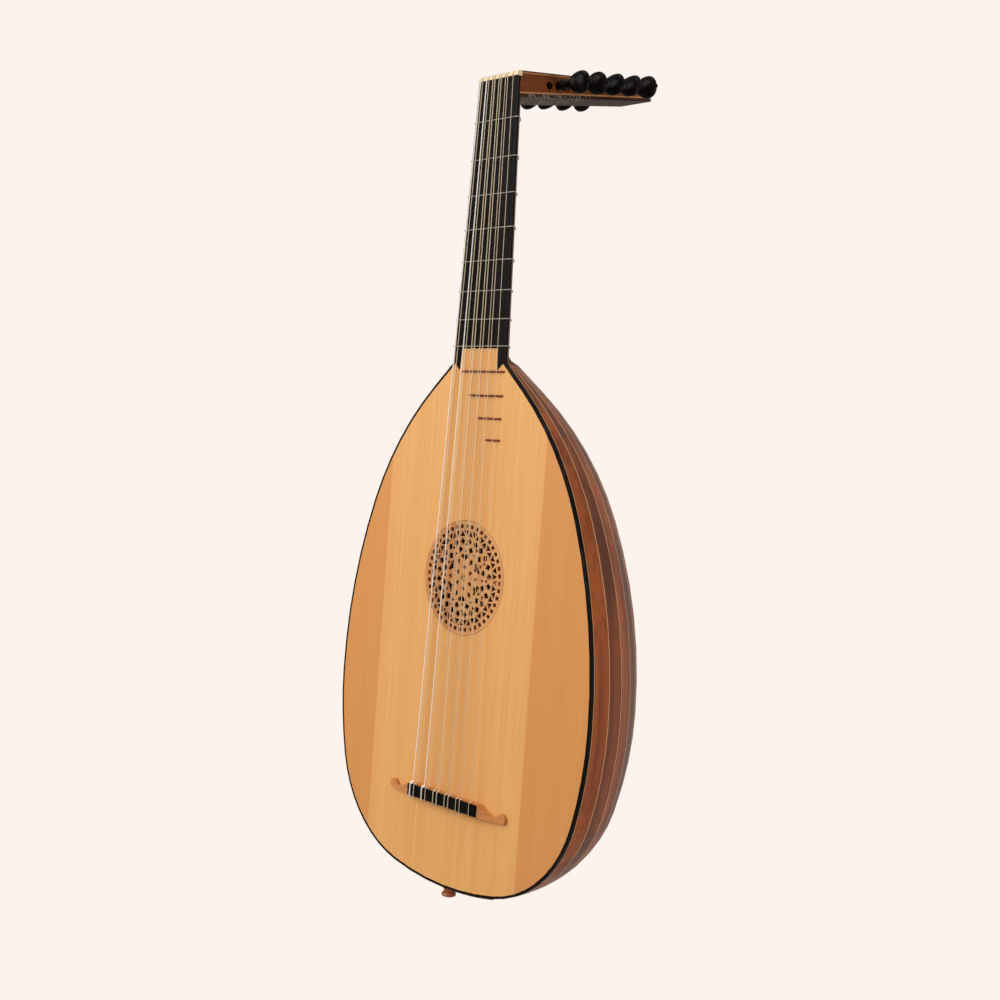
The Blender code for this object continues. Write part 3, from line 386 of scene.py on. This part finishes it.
def make_gut(name, light, dark, twist=900.0):
    made, tree, shader, vector = start_finish(name, 0.38, 0.2)
    turns = tree.nodes.new("ShaderNodeTexWave")
    turns.bands_direction = "DIAGONAL"
    turns.inputs["Scale"].default_value = twist
    turns.inputs["Distortion"].default_value = 1.0
    link(tree, vector, turns.inputs["Vector"])
    tone = blend_colours(tree, turns.outputs[1], seen(*dark), seen(*light))
    link(tree, tone, shader.inputs["Base Color"])
    return made


ebony_board = make_ebony("Ebony board", 0.4)
ebony_edge = make_ebony("Black edging", 0.42, (46, 34, 28))
ebony_peg = make_ebony("Ebony pegs", 0.3)
bone = make_bone()
gut_string = make_gut("Gut strings", (226, 208, 176), (190, 168, 134))
gut_bass = make_gut("Wound bass strings", (255, 252, 246), (226, 218, 208), 2400.0)
gut_fret = make_gut("Gut frets", (190, 180, 168), (132, 124, 114))
print("finishes: ebony, bone and gut")

# %% [markdown]
# ## The other woods
# The neck is a dark brown hardwood, the bridge and the end button are a lively orange-brown fruitwood,
# and the frets on the body are slips of dark red wood. The rose is cut from the soundboard itself, but
# its fretwork has darkened.

# %% Other woods
neck_wood = plain_wood("Dark neck wood", (104, 60, 34), (66, 36, 22), 0.4)
fruitwood = plain_wood("Orange fruitwood", (206, 138, 78), (168, 98, 48), 0.36, turn_y=90.0)
button_wood = plain_wood("Button fruitwood", (164, 92, 44), (126, 64, 28), 0.34)
fret_slip = plain_wood("Red fret slips", (128, 50, 26), (86, 30, 16), 0.42, turn_y=90.0)
rose_wood = plain_wood("Fretted spruce", (214, 156, 98), (190, 128, 76), 0.55, varnish=0.0)
inner_wood = plain_wood("Bare inner spruce", (214, 168, 116), (186, 138, 90), 0.6, varnish=0.0)
clasp_wood = plain_wood("Walnut clasp", (150, 88, 48), (104, 56, 30), 0.36, turn_y=90.0)

FINISHES = {
    "rose": rose_wood, "edging": ebony_edge, "bowl": ribs, "liner_bass": inner_wood, "liner_treble": inner_wood,
    "neck_block": inner_wood, "end_block": inner_wood, "end_clasp": clasp_wood, "end_button": button_wood,
    "neck": neck_wood, "fingerboard": ebony_board, "nut": bone, "pegbox_block": neck_wood,
    "cheek_bass": pegbox_walls, "cheek_treble": pegbox_walls, "pegbox_back": carving, "pegbox_end": pegbox_walls,
    "bridge": fruitwood, "bridge_cap": ebony_board, "soundboard": spruce,
}
BASS_STRINGS = ("string_09", "string_11")
for name, piece in lute.items():
    if name.startswith("body_fret"):
        finish = fret_slip
    elif name.startswith("fret_"):
        finish = gut_fret
    elif name.startswith("bar_"):
        finish = inner_wood
    elif name.startswith("peg_"):
        finish = ebony_peg
    elif name.startswith("string_"):
        finish = gut_bass if name in BASS_STRINGS else gut_string
    else:
        finish = FINISHES[name]
    piece.data.materials.clear()
    piece.data.materials.append(finish)
print("pieces finished:", len(lute))

# %% [markdown]
# ## Turned pegs
# A peg is turned on a lathe: a long tapered shaft, a collar and a head that is then pressed flat like
# a heart. Here a circle is drawn out station by station, each time a little wider or narrower, and
# across the head its second width is held back. Every peg takes its place and length from the solid
# that it stands for.

# %% Peg stations
PEG_SIDES = 32
SHAFT_HEAD_RADIUS = 3.4
SHAFT_TIP_RADIUS = 3.0
STICKS_OUT = 1.2
HEAD_START = 15.0
HEAD_LENGTH = 20.0
HEAD_RADIUS = 9.5
HEAD_FLATNESS = 0.5


def head_radius(share):
    """Half the head's width from its neck at 0 to its crown at 1."""
    return HEAD_RADIUS * max(0.0, 1 - abs((share - 0.56) / (0.56 if share < 0.56 else 0.47)) ** 2.4) ** 0.5


def peg_stations(wall):
    """(wide radius, flat radius, distance) in millimetres from the shaft's small end to the pip."""
    low = -wall - STICKS_OUT
    collar = wall + HEAD_START * 0.35
    head = wall + HEAD_START
    round_part = [
        (SHAFT_TIP_RADIUS * 0.75, low), (SHAFT_TIP_RADIUS * 0.95, low + 0.2), (SHAFT_TIP_RADIUS, low + 0.6),
        (SHAFT_TIP_RADIUS, 3.0 - wall), (SHAFT_HEAD_RADIUS, 5.0 - wall), (SHAFT_HEAD_RADIUS, collar),
        (4.3, collar + 0.3), (5.0, collar + 1.0), (5.1, collar + 1.8), (4.9, collar + 2.6), (3.9, collar + 3.3),
        (3.6, collar + 4.4), (3.7, collar + 6.6),
    ]
    stations = [(r, r, z) for r, z in round_part]
    for k in range(1, 14):
        share = k / 13.6
        wide = max(4.0, head_radius(share)) if share < 0.3 else max(1.7, head_radius(share))
        press = 1 - (1 - HEAD_FLATNESS) * min(1.0, share * 3)
        stations.append((wide, max(1.6, wide * press), head + HEAD_LENGTH * share))
    stations += [(1.6, 1.6, head + HEAD_LENGTH), (1.5, 1.5, head + HEAD_LENGTH + 1.2), (0.9, 0.9, head + HEAD_LENGTH + 1.8)]
    return stations


print("stations on a peg:", len(peg_stations(23.0)))

# %% [markdown]
# The circle is extruded in edit mode. Resizing is given its centre, so that each new ring grows round
# the peg's own axis.

# %% Turn the pegs
def turn_peg(name):
    low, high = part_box(name)
    hand = 1 if low[0] + high[0] > 0 else -1
    inner_end = min(abs(low[0]), abs(high[0])) / MM
    stations = peg_stations(inner_end - STICKS_OUT)
    bpy.ops.object.select_all(action="DESELECT")
    wide, flat, start = stations[0]
    bpy.ops.mesh.primitive_circle_add(vertices=PEG_SIDES, radius=wide * MM, fill_type="NGON",
                                      location=(0.0, 0.0, start * MM))
    peg = bpy.context.object
    peg.name = f"turned_{name}"
    bpy.ops.object.transform_apply(location=True, rotation=True, scale=True)
    bpy.ops.object.mode_set(mode="EDIT")
    bpy.ops.mesh.select_all(action="SELECT")
    for next_wide, next_flat, distance in stations[1:]:
        bpy.ops.mesh.extrude_region_move(TRANSFORM_OT_translate={"value": (0.0, 0.0, (distance - start) * MM)})
        bpy.ops.transform.resize(value=(next_wide / wide, next_flat / flat, 1.0), center_override=(0.0, 0.0, distance * MM))
        wide, flat, start = next_wide, next_flat, distance
    bpy.ops.mesh.select_all(action="SELECT")
    bpy.ops.mesh.normals_make_consistent(inside=False)
    bpy.ops.object.mode_set(mode="OBJECT")
    number = int(name[-2:]) - 1
    peg.rotation_euler = (0.0, 0.0, math.radians(14 * math.sin(2.3 * number + 0.6)))
    bpy.ops.object.transform_apply(location=False, rotation=True, scale=False)
    peg.rotation_euler = (0.0, math.radians(90 * hand), 0.0)
    peg.location = (0.0, (low[1] + high[1]) / 2, (low[2] + high[2]) / 2)
    bpy.ops.object.transform_apply(location=True, rotation=True, scale=True)
    bpy.ops.object.shade_smooth_by_angle(angle=math.radians(40))
    peg.data.materials.append(ebony_peg)
    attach(peg, name)
    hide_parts(name)
    return peg


pegs = [turn_peg(name) for name in sorted(lute) if name.startswith("peg_")]
print("pegs turned:", len(pegs))

# %% [markdown]
# ## String knots
# Each string passes over the black cap of the bridge and is tied to itself on the side of the rose.
# The knot is one loose turn of gut round the string: a small ring that is pulled out along the string,
# leaning a little, and set where the string leaves the bridge.

# %% Tie the knots
KNOT_HEIGHT = 0.0912
KNOT_LEAN = 24.0


def string_place(name, height):
    """The string's middle, from the points of its solid near a height."""
    near = [v.co for v in lute[name].data.vertices if abs(v.co.z - height) < 0.0012]
    return sum(near, Vector()) / len(near)


def tie_knot(name, thickness):
    place = string_place(name, KNOT_HEIGHT)
    bpy.ops.object.select_all(action="DESELECT")
    bpy.ops.mesh.primitive_torus_add(major_segments=20, minor_segments=8, major_radius=thickness * 1.05,
                                     minor_radius=thickness * 0.45, location=(0.0, 0.0, 0.0))
    knot = bpy.context.object
    knot.name = f"knot_{name[-2:]}"
    bpy.ops.object.mode_set(mode="EDIT")
    bpy.ops.mesh.select_all(action="SELECT")
    bpy.ops.transform.resize(value=(1.0, 1.0, 1.5), center_override=(0.0, 0.0, 0.0))
    bpy.ops.mesh.normals_make_consistent(inside=False)
    bpy.ops.object.mode_set(mode="OBJECT")
    knot.rotation_euler = (math.radians(KNOT_LEAN), math.radians(KNOT_LEAN / 2), 0.0)
    knot.location = place
    bpy.ops.object.transform_apply(location=True, rotation=True, scale=True)
    bpy.ops.object.shade_smooth()
    knot.data.materials.append(lute[name].data.materials[0])
    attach(knot, "lute")
    return knot


def thickness_of(name):
    """A string's diameter, read from the width of its solid at the knot's height."""
    ring = [v.co.x for v in lute[name].data.vertices if abs(v.co.z - KNOT_HEIGHT) < 0.0012]
    return max(ring) - min(ring)


knots = [tie_knot(name, thickness_of(name)) for name in sorted(lute) if name.startswith("string_")]
print("knots tied:", len(knots))

# %% [markdown]
# ## Studio
# The picture is a catalogue cut-out: a warm white ground with no floor line. A large shell of that
# colour stands round the lute for the camera only, and lets the light of the world pass.

# %% Ground
PAPER = seen(252, 243, 236)
LUTE_MIDDLE = Vector((0.0, 0.05, 0.36))

bpy.ops.object.select_all(action="DESELECT")
bpy.ops.mesh.primitive_uv_sphere_add(segments=48, ring_count=24, radius=6.0, location=LUTE_MIDDLE)
paper_shell = bpy.context.object
paper_shell.name = "paper_shell"
bpy.ops.object.shade_smooth()
paper = bpy.data.materials.new("Warm paper")
paper.use_nodes = True
paper_glow = paper.node_tree.nodes.new("ShaderNodeEmission")
paper_glow.inputs["Color"].default_value = PAPER
paper.node_tree.links.new(paper_glow.outputs[0], paper.node_tree.nodes["Material Output"].inputs["Surface"])
paper_shell.data.materials.append(paper)
paper_shell.visible_diffuse = False
paper_shell.visible_glossy = False
paper_shell.visible_shadow = False

world = bpy.data.worlds.new("Soft room")
bpy.context.scene.world = world
world.use_nodes = True
room = world.node_tree.nodes["Background"]
room.inputs["Color"].default_value = PAPER
room.inputs["Strength"].default_value = 0.45
bpy.context.scene.view_settings.view_transform = "Standard"
print("ground colour:", [round(c, 3) for c in PAPER])

# %% [markdown]
# ## Light
# A wide softbox in front of the soundboard, a little to the left, gives the even top. A weaker one on
# the treble side lights the ribs and leaves a sheen low on them.

# %% Softboxes
def softbox(name, place, aim, size, power, tint=(1.0, 1.0, 1.0)):
    """A square area light that faces its aim."""
    lamp = bpy.data.lights.new(name, "AREA")
    lamp.size = size
    lamp.energy = power
    lamp.color = tint
    made = bpy.data.objects.new(name, lamp)
    made.location = place
    made.rotation_euler = (Vector(aim) - Vector(place)).to_track_quat("-Z", "Y").to_euler()
    bpy.context.collection.objects.link(made)
    return made


softbox("front_box", (-0.7, -1.7, 1.2), LUTE_MIDDLE, 1.4, 33.0)
softbox("treble_box", (1.6, 0.6, 0.1), LUTE_MIDDLE, 0.9, 8.0)
softbox("top_box", (0.3, -0.2, 2.0), LUTE_MIDDLE, 1.0, 8.0)
print("softboxes: 3")

# %% [markdown]
# ## Camera
# The camera stands to the treble side at about the rose's height and is rolled a little, which leans
# the lute as in the picture.

# %% Camera
CAMERA_PLACE = Vector((0.8602, -0.8073, 0.3811))
LOOK_AROUND = math.radians(45.869)
LOOK_DOWN = math.radians(-1.978)
ROLL = math.radians(4.12)
FOCAL_PIXELS = 1396.0
PICTURE_PIXELS = 1000.0

ahead = Vector((-math.sin(LOOK_AROUND) * math.cos(LOOK_DOWN), math.cos(LOOK_AROUND) * math.cos(LOOK_DOWN), math.sin(LOOK_DOWN)))
right = ahead.cross(Vector((0.0, 0.0, 1.0))).normalized()
up = right.cross(ahead)
rolled_right = right * math.cos(ROLL) + up * math.sin(ROLL)
rolled_up = up * math.cos(ROLL) - right * math.sin(ROLL)
lens = bpy.data.cameras.new("Picture camera")
lens.sensor_width = 36.0
lens.lens = FOCAL_PIXELS / PICTURE_PIXELS * lens.sensor_width
camera = bpy.data.objects.new("Picture camera", lens)
turn = Matrix((rolled_right, rolled_up, -ahead)).transposed()
camera.matrix_world = Matrix.Translation(CAMERA_PLACE) @ turn.to_4x4()
bpy.context.collection.objects.link(camera)
bpy.context.scene.camera = camera
print("lens in millimetres:", round(lens.lens, 2))
